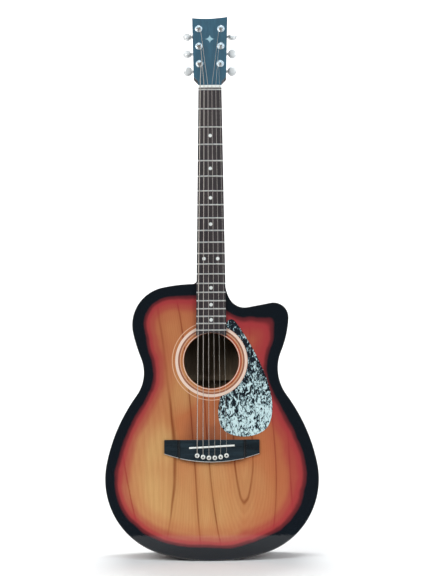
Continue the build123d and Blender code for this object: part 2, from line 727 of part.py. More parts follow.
# ---- tuning machines -----------------------------------------------------------------------------
WORM_H = -(GEAR_TEETH * GEAR_MODULE / 2 + WORM_PITCH_R)
WORM_N = -HEAD_T - WORM_DEPTH
GEAR_TIP_R = GEAR_TEETH * GEAR_MODULE / 2 + 0.42
GEAR_ROOT_R = GEAR_TEETH * GEAR_MODULE / 2 - 0.60
WORM_TIP_R = WORM_PITCH_R + 0.42
WORM_ROOT_R = WORM_PITCH_R - 0.60
WORM_LEAD = pi * GEAR_MODULE


def gear_face():
    """Gear outline with straight-sided teeth; a gap faces the worm."""
    points = []
    for tooth in range(GEAR_TEETH):
        middle = -90 + (tooth + 0.5) * 360 / GEAR_TEETH
        flank = ((GEAR_ROOT_R, -8.6), (GEAR_TIP_R, -3.4), (GEAR_TIP_R, 3.4), (GEAR_ROOT_R, 8.6))
        for radius, turn in flank:
            angle = radians(middle + turn)
            points.append((radius * cos(angle), radius * sin(angle)))
    return make_face(Polyline(*points, close=True))


def make_tuner_post():
    """String post with its worm gear pressed on the lower end."""
    low = -HEAD_T - 0.6
    waist_low, waist_high = POST_WAIST
    half = make_face(Polyline((0, low), (POST_R, low), (POST_R, waist_low - 0.8),
                              (POST_WAIST_R, waist_low), (POST_WAIST_R, waist_high),
                              (POST_R, waist_high + 0.8), (POST_R, POST_TOP - 0.6),
                              (POST_R - 0.6, POST_TOP), (0, POST_TOP), close=True))
    post = revolve(Plane.XZ * half, Axis.Z)
    post -= Pos(0, 0, waist_high - 0.7) * Rot(90, 0, 0) * Cylinder(0.8, 12)
    stub_top, stub_low = low, WORM_N - GEAR_T / 2 - 0.6
    post += Pos(0, 0, (stub_top + stub_low) / 2) * Cylinder(1.5, stub_top - stub_low)
    gear = Pos(0, 0, WORM_N - GEAR_T / 2) * extrude(gear_face(), amount=GEAR_T)
    gear -= Cylinder(1.5, 60)
    return [post, gear]


def make_worm():
    """Worm cut on the key's shaft, drawn along the shaft and then laid across the head."""
    height = WORM_TURNS * WORM_LEAD
    helix = Helix(pitch=WORM_LEAD, height=height, radius=WORM_ROOT_R - 0.1, center=(0, 0, -height / 2))
    root, tip = WORM_LEAD * 0.22, WORM_LEAD * 0.11
    flank = make_face(Polyline((0, -root), (WORM_TIP_R - WORM_ROOT_R + 0.1, -tip),
                               (WORM_TIP_R - WORM_ROOT_R + 0.1, tip), (0, root), close=True))
    section = Plane(origin=helix @ 0, x_dir=(1, 0, 0), z_dir=helix % 0) * flank
    thread = sweep(section, path=helix, is_frenet=True)
    core = Pos(0, 0, 0.4) * Cylinder(WORM_ROOT_R, height + 1.6)
    journal = Pos(0, 0, -height / 2 - 1.6) * Cylinder(1.3, 2.6)
    shaft_low, shaft_high = height / 2 + 0.9, BUTTON_U
    shaft = Pos(0, 0, (shaft_low + shaft_high) / 2) * Cylinder(SHAFT_R, shaft_high - shaft_low)
    return thread + core + journal + shaft


def lay_worm(shape):
    """Turn a shape drawn along Z so that Z runs outward and X faces the gear, and lower it."""
    frame = Plane(origin=(0, WORM_H, WORM_N), x_dir=(0, 1, 0), z_dir=(1, 0, 0))
    return frame.location * shape


def make_button(turn):
    """Oval key with a neck, and the screw that holds it on the shaft."""
    half_length, half_width, half_thick = 8.2, 9.2, 4.8
    key = extrude(Plane.XZ * Ellipse(half_width, half_length), amount=half_thick, both=True)
    key = fillet(key.edges(), half_thick - 0.9)
    key = Pos(0, 0, BUTTON_U) * key
    neck_low = BUTTON_U - half_length - 2.0
    key += Pos(0, 0, neck_low + 2) * Cone(2.9, 4.2, 4)
    key -= Pos(0, 0, BUTTON_U - 10) * Cylinder(SHAFT_R, 20)
    key -= Pos(0, 0, BUTTON_U + 10) * Cylinder(1.2, 20)
    end = BUTTON_U + half_length
    key -= Pos(0, 0, end) * Cylinder(2.3, 2)
    screw = Pos(0, 0, (BUTTON_U + end - 1) / 2) * Cylinder(1.2, end - 1 - BUTTON_U)
    screw += Pos(0, 0, end - 0.5) * Cylinder(2.3, 1)
    screw -= Pos(0, 0, end) * Box(0.6, 5, 0.9)
    return [Rot(0, 0, turn) * key, Rot(0, 0, turn) * screw]


def make_housing():
    """Closed can behind the head, with the shaft's collar and a screw ear."""
    depth = 2 * WORM_DEPTH - 0.2
    middle = (1.0, -1.6)
    can = Pos(*middle, -HEAD_T - depth / 2) * Box(13.0, 14.4, depth)
    can = fillet(can.edges().filter_by(Axis.Z), 2.5)
    can = fillet(can.faces().sort_by(Axis.Z)[0].edges(), 1.2)
    ear = Pos(0, SCREW_H, -HEAD_T - EAR_T / 2) * Cylinder(3.6, EAR_T)
    ear += Pos(0, SCREW_H - 3, -HEAD_T - EAR_T / 2) * Box(6.0, 6.0, EAR_T)
    collar = lay_worm(Pos(0, 0, 8.7) * Cylinder(3.2, 4.0))
    can = can + ear + collar
    can -= Pos(0, 0, -HEAD_T - 4) * Cylinder(GEAR_TIP_R + 0.3, 8.2)
    can -= lay_worm(Pos(0, 0, 0.15) * Cylinder(WORM_TIP_R + 0.25, WORM_TURNS * WORM_LEAD + 1.5))
    can -= lay_worm(Pos(0, 0, 10) * Cylinder(SHAFT_R + RUNNING_GAP, 20))
    can -= lay_worm(Pos(0, 0, -4.2) * Cylinder(1.3 + RUNNING_GAP, 4))
    can -= Pos(0, SCREW_H, -HEAD_T) * Cylinder(SCREW_R, 14)
    return can


def make_bushing():
    """Threaded sleeve whose flanged head clamps the machine to the face of the head."""
    sleeve = Pos(0, 0, -2.5) * Cylinder(BUSHING_R, 2 * VENEER_T + 5)
    flange = Pos(0, 0, VENEER_T + 0.4) * Cylinder(BUSHING_FLANGE_R, 0.8)
    nut_head = Pos(0, 0, VENEER_T + 0.8) * extrude(RegularPolygon(5.9, 6), amount=1.4)
    nut_head = fillet(nut_head.faces().sort_by(Axis.Z)[-1].edges(), 0.4)
    return sleeve + flange + nut_head - Cylinder(POST_R + RUNNING_GAP, 40)


def make_tuner_screw():
    """Fixing screw through the housing's ear, with a slotted head."""
    seat, length = -HEAD_T - EAR_T, 8.3
    shank = Pos(0, SCREW_H, seat + length / 2) * Cylinder(SCREW_R, length)
    head = Pos(0, SCREW_H, seat - 0.6) * Cylinder(2.6, 1.2)
    head = fillet(head.faces().sort_by(Axis.Z)[0].edges(), 0.5)
    return shank + head - Pos(0, SCREW_H, seat - 1.2) * Box(0.7, 3.6, 1.0)


def on_machine(side, x, height, shapes):
    """Place shapes drawn for a treble-side machine; the bass side's are mirror images."""
    placed = []
    for shape in shapes:
        if side < 0:
            shape = shape.mirror(Plane.YZ)
        placed.append(on_head(x, height, shape))
    return placed


# ---- assembly ------------------------------------------------------------------------------------
def build_parts():
    parts = {}
    parts["soundboard"] = make_soundboard()
    parts["back_plate"] = make_back_plate()
    parts["side_bass"], parts["side_treble"] = make_rim()
    parts["bindings"] = make_bindings()
    parts["neck_block"] = make_neck_block()
    parts["tail_block"] = make_tail_block()
    parts["linings"] = make_linings()
    parts["x_braces"] = make_x_braces()
    parts["soundboard_braces"] = make_soundboard_braces()
    parts["bridge_plate"] = make_bridge_plate()
    parts["back_braces"] = make_back_braces()
    parts["back_strip"] = make_back_strip()
    parts["rosette"] = make_rosette()
    parts["pickguard"] = make_pickguard()
    parts["bridge"] = make_bridge()
    parts["saddle"] = make_saddle()
    parts["neck"] = make_neck()
    parts["head_veneer"] = make_head_veneer()
    parts["head_inlay"] = make_head_inlay()
    parts["fretboard"] = make_fretboard()
    parts["frets"] = [make_fret(z) for z in fret_heights()]
    parts["position_dots"] = make_dots()
    parts["nut"] = make_nut()
    parts["truss_rod"] = make_truss_rod()
    parts["truss_rod_nut"] = make_truss_rod_nut()
    parts["plain_strings"] = [make_string(index) for index in (0, 1)]
    parts["wound_strings"] = [make_string(index) for index in (2, 3, 4, 5)]
    parts["ball_ends"] = make_ball_ends()
    for number, (x, z) in enumerate(pin_places(), start=1):
        parts[f"bridge_pin_{number}"] = make_bridge_pin(x, z)

    housings, bushings, screws = [], [], []
    housing, bushing, screw = make_housing(), make_bushing(), make_tuner_screw()
    post, worm = make_tuner_post(), lay_worm(make_worm())
    for number, side, x, height in post_places():
        button = [lay_worm(piece) for piece in make_button(BUTTON_TURNS[number])]
        parts[f"tuner_post_{number}"] = on_machine(side, x, height, post)
        parts[f"tuner_worm_{number}"] = on_machine(side, x, height, [worm])
        parts[f"tuner_button_{number}"] = on_machine(side, x, height, button)
        housings += on_machine(side, x, height, [housing])
        bushings += on_machine(side, x, height, [bushing])
        screws += on_machine(side, x, height, [screw])
    parts["tuner_housings"] = housings
    parts["tuner_bushings"] = bushings
    parts["tuner_screws"] = screws
    return parts


def write_parts(parts):
    os.makedirs("parts", exist_ok=True)
    for name, shape in parts.items():
        solids = []
        for piece in (shape if isinstance(shape, list) else [shape]):
            solids += solids_of(piece)
        body = solids[0] if len(solids) == 1 else Compound(children=solids)
        export_step(body, f"parts/{name}.step")


if __name__ == "__main__":
    write_parts(build_parts())
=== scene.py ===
import json
from math import cos, pi, radians, sin, sqrt

import bmesh
import bpy
import numpy as np
from mathutils import Matrix, Vector
from mathutils.geometry import delaunay_2d_cdt

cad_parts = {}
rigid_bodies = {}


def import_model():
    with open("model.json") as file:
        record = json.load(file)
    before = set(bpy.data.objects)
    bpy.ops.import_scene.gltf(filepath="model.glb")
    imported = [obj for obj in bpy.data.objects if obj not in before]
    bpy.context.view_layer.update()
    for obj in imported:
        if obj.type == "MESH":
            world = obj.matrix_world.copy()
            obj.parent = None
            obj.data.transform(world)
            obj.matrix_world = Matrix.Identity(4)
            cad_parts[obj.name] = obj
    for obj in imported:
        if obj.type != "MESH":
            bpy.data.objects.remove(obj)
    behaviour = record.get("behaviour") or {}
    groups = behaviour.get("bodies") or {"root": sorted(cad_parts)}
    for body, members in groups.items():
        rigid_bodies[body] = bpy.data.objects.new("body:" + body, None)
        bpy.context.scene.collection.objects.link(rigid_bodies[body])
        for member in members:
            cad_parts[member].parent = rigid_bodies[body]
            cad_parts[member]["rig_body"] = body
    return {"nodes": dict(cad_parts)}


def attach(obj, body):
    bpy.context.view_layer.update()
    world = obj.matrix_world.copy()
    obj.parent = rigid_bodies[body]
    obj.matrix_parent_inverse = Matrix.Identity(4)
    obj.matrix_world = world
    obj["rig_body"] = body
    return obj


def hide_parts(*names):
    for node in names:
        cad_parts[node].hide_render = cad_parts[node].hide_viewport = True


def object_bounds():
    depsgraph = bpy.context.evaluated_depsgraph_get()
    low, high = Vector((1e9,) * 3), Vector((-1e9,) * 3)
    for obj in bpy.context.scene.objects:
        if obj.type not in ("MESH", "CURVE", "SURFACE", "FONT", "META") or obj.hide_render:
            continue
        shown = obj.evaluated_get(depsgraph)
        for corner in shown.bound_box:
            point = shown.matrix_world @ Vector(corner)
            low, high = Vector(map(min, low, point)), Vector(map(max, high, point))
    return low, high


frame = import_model()
cad_low, cad_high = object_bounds()
NODES = frame["nodes"]
MM = 0.001

# Sizes shared with the design, in millimetres.
SCALE_LENGTH = 650.0
HOLE_Z = -500.0
HEAD_TILT = radians(13.0)
HEAD_ORIGIN = Vector((0, 0, 8.0))
HEAD_UP = Vector((0, sin(HEAD_TILT), cos(HEAD_TILT)))
HEAD_OUT = Vector((0, -cos(HEAD_TILT), sin(HEAD_TILT)))
BACK_RADIUS = 5000.0
BACK_CENTRE = Vector((0, 100.0 - BACK_RADIUS, -728.0))
STRING_DIAMETERS = (0.30, 0.41, 0.61, 0.81, 1.07, 1.35)
POST_PLACES = ((19.4, 47.0), (20.6, 85.0), (21.2, 123.0), (-21.2, 123.0), (-20.6, 85.0), (-19.4, 47.0))
POST_R, POST_WAIST_R, POST_WAIST_LOW = 3.0, 2.4, 4.8
POST_HOLE_N = 6.9
WRAP_N = 6.2
STRING_TO_POST = 3.3
PIN_PITCH, PIN_ROW_Z, PIN_ROW_RISE = 10.4, -671.9, 4.0
PIN_DOME_RIM, PIN_DOME_TOP, PIN_HEAD_R = 11.5, 13.5, 4.1
BINDING_W = 2.0
SLOPE_X = 59.0              # middle of the slopes between the bridge's middle and its wings
BODY_MIDDLE_Z = -690.0
RIM_MIDDLE_Y = 46.0
ROSETTE_FROM, ROSETTE_W = 50.0, 25.0
EVEN_REACH = 7.0            # longest edge of a mesh that paint is evened along
CHUNK = 2000                # points measured at a time

# Sizes of the set, in metres.
FLOOR_FRONT, FLOOR_NEAR, FLOOR_BEND_Y, FLOOR_BEND_R = -0.28, -4.0, 3.0, 1.2
PAPER_HALF_W, PAPER_TOP = 4.5, 5.0


def tone(red, green, blue):
    """Linear colour from display values of 0 to 255."""
    linear = []
    for value in (red, green, blue):
        share = value / 255
        linear.append(((share + 0.055) / 1.055) ** 2.4 if share > 0.04045 else share / 12.92)
    return (*linear, 1.0)


def times(colour, red, green, blue):
    """A colour with each part multiplied."""
    return (colour[0] * red, colour[1] * green, colour[2] * blue, 1.0)


# ---- materials ---------------------------------------------------------------------------------
class Finish:
    """A node material under construction."""

    def __init__(self, name, **settings):
        self.material = bpy.data.materials.new(name)
        self.material.use_nodes = True
        self.tree = self.material.node_tree
        self.shader = self.tree.nodes["Principled BSDF"]
        self.place = self.node("TexCoord").outputs["Object"]
        for socket, value in settings.items():
            self.set(socket.replace("_", " "), value)

    def set(self, socket, value):
        self.feed(self.shader.inputs[socket], value)

    def feed(self, socket, value):
        if isinstance(value, bpy.types.NodeSocket):
            self.tree.links.new(value, socket)
        else:
            socket.default_value = value

    def node(self, kind, settings=None, **inputs):
        made = self.tree.nodes.new("ShaderNode" + kind)
        for key, value in (settings or {}).items():
            setattr(made, key, value)
        for key, value in inputs.items():
            self.feed(made.inputs[key.replace("_", " ")], value)
        return made

    def math(self, operation, first, second=0.0, third=0.0):
        made = self.node("Math", {"operation": operation})
        for socket, value in zip(made.inputs, (first, second, third)):
            self.feed(socket, value)
        return made.outputs[0]

    def mix(self, factor, first, second, blend="MIX"):
        made = self.node("Mix", {"data_type": "RGBA", "blend_type": blend, "clamp_factor": True})
        self.feed(made.inputs[0], factor)
        self.feed(made.inputs[6], first)
        self.feed(made.inputs[7], second)
        return made.outputs[2]

    def stretch(self, scale):
        """The coordinates scaled by three factors."""
        made = self.node("VectorMath", {"operation": "MULTIPLY"})
        self.feed(made.inputs[0], self.place)
        self.feed(made.inputs[1], scale)
        return made.outputs[0]

    def noise(self, vector, scale, detail=3.0, roughness=0.5, distortion=0.0):
        made = self.node("TexNoise", Vector=vector, Scale=scale, Detail=detail, Roughness=roughness,
                         Distortion=distortion)
        return made.outputs["Fac"]

    def span(self, value, low, high, to_low=0.0, to_high=1.0):
        """Map a range smoothly to another."""
        made = self.node("MapRange", {"interpolation_type": "SMOOTHSTEP"})
        for socket, number in zip(made.inputs, (value, low, high, to_low, to_high)):
            self.feed(socket, number)
        return made.outputs[0]

    def ramp(self, value, stops, interpolation="LINEAR"):
        made = self.node("ValToRGB", Fac=value)
        made.color_ramp.interpolation = interpolation
        elements = made.color_ramp.elements
        while len(elements) < len(stops):
            elements.new(0.5)
        for element, (position, colour) in zip(elements, stops):
            element.position = position
            element.color = colour
        return made

    def attribute(self, name):
        return self.node("Attribute", {"attribute_name": name}).outputs["Fac"]

    def bump(self, height, strength, distance):
        return self.node("Bump", Height=height, Strength=strength, Distance=distance).outputs[0]

    def parts(self):
        """The x, y and z of the place on the piece."""
        return self.node("SeparateXYZ", Vector=self.place).outputs


def grain_lines(finish, along=(1.0, 1.0, 0.03)):
    """Fine long fibres and scattered pores, as two values of 0 to 1."""
    fibres = finish.noise(finish.stretch(along), 900.0, 4.0, 0.65)
    pores = finish.noise(finish.stretch((along[0], along[1], along[2] * 3)), 2600.0, 2.0, 0.5)
    return fibres, finish.span(pores, 0.64, 0.72)


def burst_wood(name, light, deep, edge_red, dark, figure=True):
    """Lacquered wood that darkens to its rim: attributes give the depth of its amber, painted shade where
    that depth passes 1, burst and ring figure.
    """
    finish = Finish(name, Roughness=0.5, Specular_IOR_Level=0.0, Coat_Weight=1.0, Coat_Roughness=0.035,
                    Coat_IOR=1.45)
    tint = finish.attribute("tint")
    wood = finish.mix(tint, light, deep)
    # Where the depth passes 1 the wood darkens towards a bluish grey: painted shade above the bridge and
    # below the rosette.
    wood = finish.mix(finish.span(tint, 1.0, 2.0, 0.0, 0.8), wood,
                      finish.mix(1.0, wood, (0.45, 0.48, 0.62, 1.0), "MULTIPLY"))
    fibres, pores = grain_lines(finish)
    broad = finish.noise(finish.stretch((1.0, 1.0, 0.12)), 60.0, 3.0, 0.6)
    wood = finish.mix(finish.span(broad, 0.3, 0.75, 0.0, 0.35), wood, deep)
    wood = finish.mix(finish.span(fibres, 0.35, 0.8, 0.0, 0.3), wood,
                      finish.mix(1.0, wood, (0.70, 0.58, 0.50, 1.0), "MULTIPLY"))
    if figure:
        ring = finish.attribute("ring")
        wander = finish.noise(finish.stretch((1.0, 1.0, 0.15)), 45.0, 2.0)
        ring = finish.math("ADD", ring, finish.math("MULTIPLY", wander, 0.10))
        whole = finish.math("PINGPONG", ring, 0.5)
        off_line = finish.math("MULTIPLY", whole, finish.attribute("gap"))
        line = finish.span(off_line, 0.1, 2.4, 0.9, 0.0)
        faint = finish.noise(finish.stretch((1.0, 1.0, 0.3)), 30.0, 2.0)
        line = finish.math("MULTIPLY", line, finish.span(faint, 0.25, 0.6, 0.35, 0.9))
        shade = finish.span(off_line, 0.0, 10.0, 0.22, 0.0)
        sub = finish.math("PINGPONG", finish.math("MULTIPLY", ring, 9.0), 0.5)
        sub = finish.span(sub, 0.0, 0.5, 0.14, 0.0)
        for amount in (shade, sub):
            wood = finish.mix(amount, wood, finish.mix(1.0, wood, (0.60, 0.42, 0.34, 1.0), "MULTIPLY"))
        wood = finish.mix(line, wood, finish.mix(1.0, wood, (0.45, 0.26, 0.19, 1.0), "MULTIPLY"))
    wood = finish.mix(finish.math("MULTIPLY", pores, 0.25), wood, tone(70, 40, 26))
    streaked = finish.mix(finish.span(fibres, 0.3, 0.75, 0.0, 0.5), edge_red,
                          times(edge_red, 0.72, 0.55, 0.50))
    wood = finish.mix(finish.attribute("wash"), wood, streaked)
    cloud = finish.noise(finish.place, 16.0, 3.0)
    burst = finish.math("ADD", finish.attribute("burst"), finish.span(cloud, 0.3, 0.7, -1.6, 1.6))
    share = finish.math("MULTIPLY_ADD", burst, 1 / 50, 0.2)
    shadow = [0.65 * d + 0.35 * r for d, r in zip(dark, edge_red)]
    warm = [0.5 * d + 0.5 * r for d, r in zip(deep, edge_red)]
    coats = [(0.10, dark, 1.0), (0.18, shadow, 1.0), (0.27, edge_red, 0.94), (0.38, edge_red, 0.70),
             (0.55, warm, 0.38), (0.88, deep, 0.0)]
    spray = finish.ramp(share, [(at, (*paint[:3], cover)) for at, paint, cover in coats], "EASE")
    colour = finish.mix(spray.outputs["Alpha"], wood, spray.outputs["Color"])
    finish.set("Base Color", colour)
    peel = finish.noise(finish.place, 260.0, 2.0)
    finish.set("Coat Normal", finish.bump(peel, 0.04, 0.0006))
    finish.set("Normal", finish.bump(fibres, 0.05, 0.0004))
    return finish.material


def lacquered_side(name, colour, edge):
    """Gloss lacquer over dark wood, darker towards both edges of the rim."""
    finish = Finish(name, Roughness=0.5, Specular_IOR_Level=0.0, Coat_Weight=1.0, Coat_Roughness=0.04)
    _, depth, _ = finish.parts()
    fibres, pores = grain_lines(finish, (1.0, 1.0, 0.4))
    wood = finish.mix(finish.span(fibres, 0.3, 0.75), colour, tone(58, 22, 17))
    wood = finish.mix(finish.math("MULTIPLY", pores, 0.4), wood, tone(24, 10, 8))
    from_middle = finish.math("ABSOLUTE", finish.math("SUBTRACT", depth, RIM_MIDDLE_Y * MM))
    finish.set("Base Color", finish.mix(finish.span(from_middle, 0.012, 0.034), wood, edge))
    finish.set("Coat Normal", finish.bump(finish.noise(finish.place, 240.0, 2.0), 0.05, 0.0006))
    return finish.material


def moulded(name, colour, roughness=0.25, coat=0.3, wear=0.12):
    """Moulded or turned plastic, with a faint cloud in its colour and gloss."""
    finish = Finish(name, Coat_Weight=coat, Coat_Roughness=0.08)
    cloud = finish.noise(finish.place, 180.0, 3.0)
    shaded = times(colour, 1 - wear, 1 - wear, 1 - wear * 0.9)
    finish.set("Base Color", finish.mix(finish.span(cloud, 0.35, 0.7), colour, shaded))
    finish.set("Roughness", finish.span(cloud, 0.3, 0.7, roughness * 0.8, roughness * 1.3))
    finish.set("Normal", finish.bump(finish.noise(finish.place, 900.0, 2.0), 0.04, 0.0002))
    return finish.material


def metal(name, colour, roughness, scratch=(1.0, 1.0, 1.0), tarnish=0.2, shine=1.0):
    """Plated or drawn metal with fine scratches and a slight tarnish: satin where shine is below 1."""
    finish = Finish(name, Metallic=shine)
    scratches = finish.noise(finish.stretch(scratch), 1500.0, 3.0, 0.6)
    cloud = finish.noise(finish.place, 120.0, 3.0)
    dull = times(colour, 1 - tarnish, 1 - tarnish, 1 - tarnish)
    finish.set("Base Color", finish.mix(finish.span(cloud, 0.35, 0.75), colour, dull))
    finish.set("Roughness", finish.span(scratches, 0.3, 0.75, roughness * 0.7, roughness * 1.5))
    finish.set("Normal", finish.bump(scratches, 0.08, 0.0001))
    return finish.material


def wood(name, light, dark, along, roughness=0.55, coat=0.0, pore=0.5, shade=None):
    """Plain wood with long fibres and pores. shade may paint shade into its colour from place to place."""
    finish = Finish(name, Coat_Weight=coat, Coat_Roughness=0.06, Specular_IOR_Level=0.5 * (1 - coat))
    fibres, pores = grain_lines(finish, along)
    broad = finish.noise(finish.stretch(along), 160.0, 3.0, 0.6)
    colour = finish.mix(finish.span(broad, 0.3, 0.7), light, dark)
    colour = finish.mix(finish.span(fibres, 0.35, 0.75, 0.0, 0.7), colour, dark)
    colour = finish.mix(finish.math("MULTIPLY", pores, pore), colour, times(dark, 0.35, 0.35, 0.35))
    finish.set("Base Color", shade(finish, colour) if shade else colour)
    finish.set("Roughness", finish.span(fibres, 0.3, 0.7, roughness * 0.85, roughness * 1.15))
    finish.set("Normal", finish.bump(finish.math("SUBTRACT", fibres, pores), 0.15, 0.0003))
    return finish.material


def rosette_finish():
    """Concentric inlay: cream lines round a brown band with a thick cream ring outside it."""
    finish = Finish("rosette_inlay", Roughness=0.5, Specular_IOR_Level=0.0, Coat_Weight=1.0,
                    Coat_Roughness=0.05)
    x, _, z = finish.parts()
    height = finish.math("SUBTRACT", z, HOLE_Z * MM)
    radius = finish.math("SQRT", finish.math("ADD", finish.math("MULTIPLY", x, x),
                                             finish.math("MULTIPLY", height, height)))
    angle = finish.math("ARCTAN2", x, height)
    share = finish.math("MULTIPLY_ADD", radius, 1 / (ROSETTE_W * MM), -ROSETTE_FROM / ROSETTE_W)
    cream, pale, brown = tone(240, 214, 198), tone(208, 146, 108), tone(158, 102, 78)

    rings = [(ROSETTE_FROM, cream), (53.0, pale), (56.2, tone(226, 186, 156)), (56.9, brown), (60.0, cream),
             (67.0, tone(228, 184, 152))]
    stops = [((radius_mm - ROSETTE_FROM) / ROSETTE_W, colour) for radius_mm, colour in rings]
    bands = finish.ramp(share, stops, "CONSTANT").outputs["Color"]
    around = finish.node("CombineXYZ", X=angle, Y=finish.math("MULTIPLY", radius, 60.0), Z=0.0).outputs[0]
    fleck = finish.noise(around, 40.0, 3.0, 0.7)
    bands = finish.mix(finish.span(fleck, 0.4, 0.75, 0.0, 0.45), bands,
                       finish.mix(1.0, bands, (0.72, 0.58, 0.50, 1.0), "MULTIPLY"))
    finish.set("Base Color", bands)
    return finish.material


def marble_finish():
    """Pickguard sheet: black and white flakes, mostly black at the top and white at the foot."""
    finish = Finish("marbled_pickguard", Roughness=0.22, Coat_Weight=0.6, Coat_Roughness=0.05)
    lean = finish.node("Mapping", Vector=finish.place)
    lean.inputs["Rotation"].default_value = (0.0, radians(-35.0), 0.0)
    lean.inputs["Scale"].default_value = (1.45, 1.0, 0.78)
    flakes = finish.noise(lean.outputs[0], 106.0, 4.0, 0.72, 1.3)
    specks = finish.noise(lean.outputs[0], 420.0, 2.0, 0.5, 0.6)
    mixed = finish.math("MULTIPLY_ADD", specks, 0.35, flakes)
    x, _, z = finish.parts()
    level = finish.math("MULTIPLY_ADD", x, -0.5, z)
    bias = finish.span(level, -0.69, -0.47, 0.635, 0.765)
    off = finish.math("SUBTRACT", mixed, bias)
    colour = finish.ramp(finish.math("MULTIPLY_ADD", off, 6.0, 0.5),
                         [(0.30, tone(12, 22, 32)), (0.47, tone(60, 88, 98)), (0.55, tone(160, 192, 198)),
                          (0.80, tone(210, 234, 236))])
    finish.set("Base Color", colour.outputs["Color"])
    return finish.material


def bridge_painted_shade(finish, plain):
    """Painted shade on a bridge's colour: darker on its wings, and more on the slopes that lead down to
    them.
    """
    beyond = finish.math("SUBTRACT", finish.math("ABSOLUTE", finish.parts()[0]), SLOPE_X * MM)
    off_slope = finish.math("ABSOLUTE", beyond)
    dark = finish.mix(1.0, plain, (0.16, 0.16, 0.18, 1.0), "MULTIPLY")
    shade = finish.math("MAXIMUM", finish.span(off_slope, 0.0022, 0.0036, 0.9, 0.0),
                        finish.span(beyond, 0.0, 0.002, 0.0, 0.35))
    return finish.mix(shade, plain, dark)


def pearl_finish(name, brightness):
    finish = Finish(name, Roughness=0.18, Coat_Weight=0.5, Coat_Roughness=0.05)
    sheen = finish.noise(finish.stretch((1.0, 1.0, 0.5)), 420.0, 3.0, 0.6, 2.0)
    shades = [(0.30, tone(206, 226, 232)), (0.45, tone(236, 238, 232)), (0.58, tone(246, 250, 250)),
              (0.72, tone(216, 232, 228))]
    tints = (brightness ** 2.2, brightness ** 1.3, brightness)
    colour = finish.ramp(sheen, [(at, times(shade, *tints)) for at, shade in shades])
    finish.set("Base Color", colour.outputs["Color"])
    finish.set("Normal", finish.bump(sheen, 0.1, 0.0002))
    return finish.material


def wound_finish(name, colour, core):
    """String with a fine winding round it, as closely spaced grooves."""
    finish = Finish(name, Metallic=0.5, Roughness=0.38)
    _, _, z = finish.parts()
    groove = finish.math("PINGPONG", finish.math("MULTIPLY", z, 3200.0), 0.5)
    finish.set("Base Color", finish.mix(finish.span(groove, 0.0, 0.3), core, colour))
    finish.set("Normal", finish.bump(groove, 0.5, 0.0002))
    return finish.material


FINISHES = {
    "top": burst_wood("sunburst_lacquer", tone(209, 167, 110), tone(190, 118, 74), tone(164, 56, 60),
                      tone(14, 21, 28)),
    "back": burst_wood("body_lacquer", tone(128, 62, 38), tone(98, 40, 26), tone(76, 22, 18),
                       tone(16, 14, 15), figure=False),
    "sides": lacquered_side("side_lacquer", tone(92, 38, 26), tone(18, 14, 15)),
    "binding": moulded("black_binding", tone(20, 22, 25), 0.18, 0.8, 0.1),
    "bare": wood("bare_wood", tone(176, 132, 88), tone(140, 96, 60), (1.0, 1.0, 0.05), 0.75),
    "bare_across": wood("bare_wood_across", tone(182, 138, 94), tone(146, 100, 64), (0.05, 1.0, 1.0), 0.75),
    "rosette": rosette_finish(),
    "pickguard": marble_finish(),
    # Bridge: black wood tinted bluish as a painted sheen, with painted shade on its wings and slopes.
    "bridge": wood("black_wood", tone(40, 54, 62), tone(22, 32, 38), (0.05, 1.0, 1.0), 0.3, 0.6, 0.6,
                   bridge_painted_shade),
    # Whitish finish for the bridge's lower front edge: a painted highlight.
    "bridge_painted_glint": moulded("bridge_painted_glint", tone(206, 208, 204), 0.3, 0.6, 0.1),
    "bone": moulded("white_bone", tone(244, 246, 240), 0.34, 0.3, 0.06),
    "pin_dots": moulded("pin_dots", tone(24, 26, 28), 0.3, 0.4, 0.1),
    # A darker, greyer copy of the bare wood for the inside of the back and its braces: painted shade for
    # the dark inside of the body.
    "inside": wood("inside_wood_painted_shade", tone(138, 122, 100), tone(108, 92, 74), (1.0, 1.0, 0.05), 0.8),
    "neck": wood("neck_lacquer", tone(62, 30, 22), tone(40, 19, 15), (1.0, 1.0, 0.04), 0.35, 1.0, 0.3),
    "head": wood("head_lacquer", tone(40, 82, 102), tone(32, 68, 86), (1.0, 1.0, 0.05), 0.3, 1.0, 0.1),
    "head_edge": moulded("head_edge", tone(26, 36, 44), 0.55, 0.0, 0.2),
    "pearl": pearl_finish("pearl", 1.0),
    "head_pearl": pearl_finish("head_pearl", 0.62),
    "rosewood": wood("rosewood", tone(66, 58, 60), tone(42, 36, 40), (1.0, 1.0, 0.03), 0.42, 0.15, 0.9),
    "frets": metal("fret_wire", tone(226, 226, 222), 0.3, (0.1, 1.0, 1.0), shine=0.45),
    "steel": metal("steel", tone(170, 172, 176), 0.32),
    "plain": metal("string_steel", tone(222, 216, 206), 0.4, (1.0, 1.0, 0.05), shine=0.4),
    "wound": wound_finish("string_bronze", tone(208, 200, 192), tone(146, 136, 126)),
    "brass": metal("brass", tone(206, 170, 96), 0.3),
    "chrome": metal("chrome", tone(226, 230, 232), 0.12, tarnish=0.06, shine=0.55),
    "buttons": metal("button_chrome", tone(250, 252, 252), 0.14, tarnish=0.03, shine=0.15),
    "pins": moulded("white_pin", tone(226, 228, 222), 0.26, 0.5, 0.06),
}

